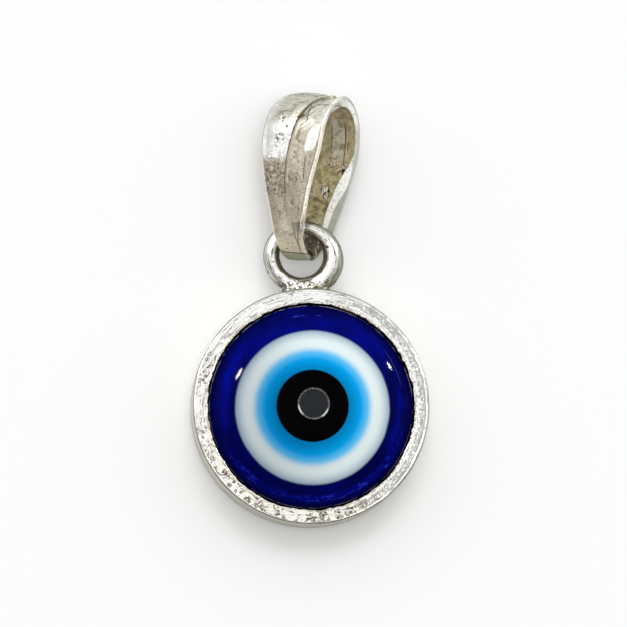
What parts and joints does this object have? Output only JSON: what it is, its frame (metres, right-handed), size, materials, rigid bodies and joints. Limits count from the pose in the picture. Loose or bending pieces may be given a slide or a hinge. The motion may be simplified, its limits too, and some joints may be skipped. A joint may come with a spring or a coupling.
{
  "type": "evil eye pendant",
  "caption": "Round silver cup pendant with a domed blue, white and black glass eye, a soldered wire ring and a loose tapered strip bail.",
  "frame": {"origin": "on the cup's axis, at its flat back", "axes": "+Z out of the cup's rim toward the viewer, +Y toward the ring and the bail, +X to the right"},
  "size_m": [0.014, 0.0256, 0.0057],
  "materials": {
    "cup_silver": "polished silver with fine file and hammer marks",
    "bail_silver": "cast silver, bright at the crest and dull and pitted below",
    "cobalt_glass": "glossy deep blue glass",
    "white_glass": "glossy opaque white glass",
    "light_blue_glass": "glossy opaque light blue glass",
    "black_glass": "glossy opaque black glass"
  },
  "bodies": {
    "root": {"setting": "cup_silver", "cobalt_glass": "cobalt_glass", "white_glass": "white_glass", "blue_glass": "light_blue_glass", "pupil_glass": "black_glass", "bail": "bail_silver"}
  },
  "joints": []
}
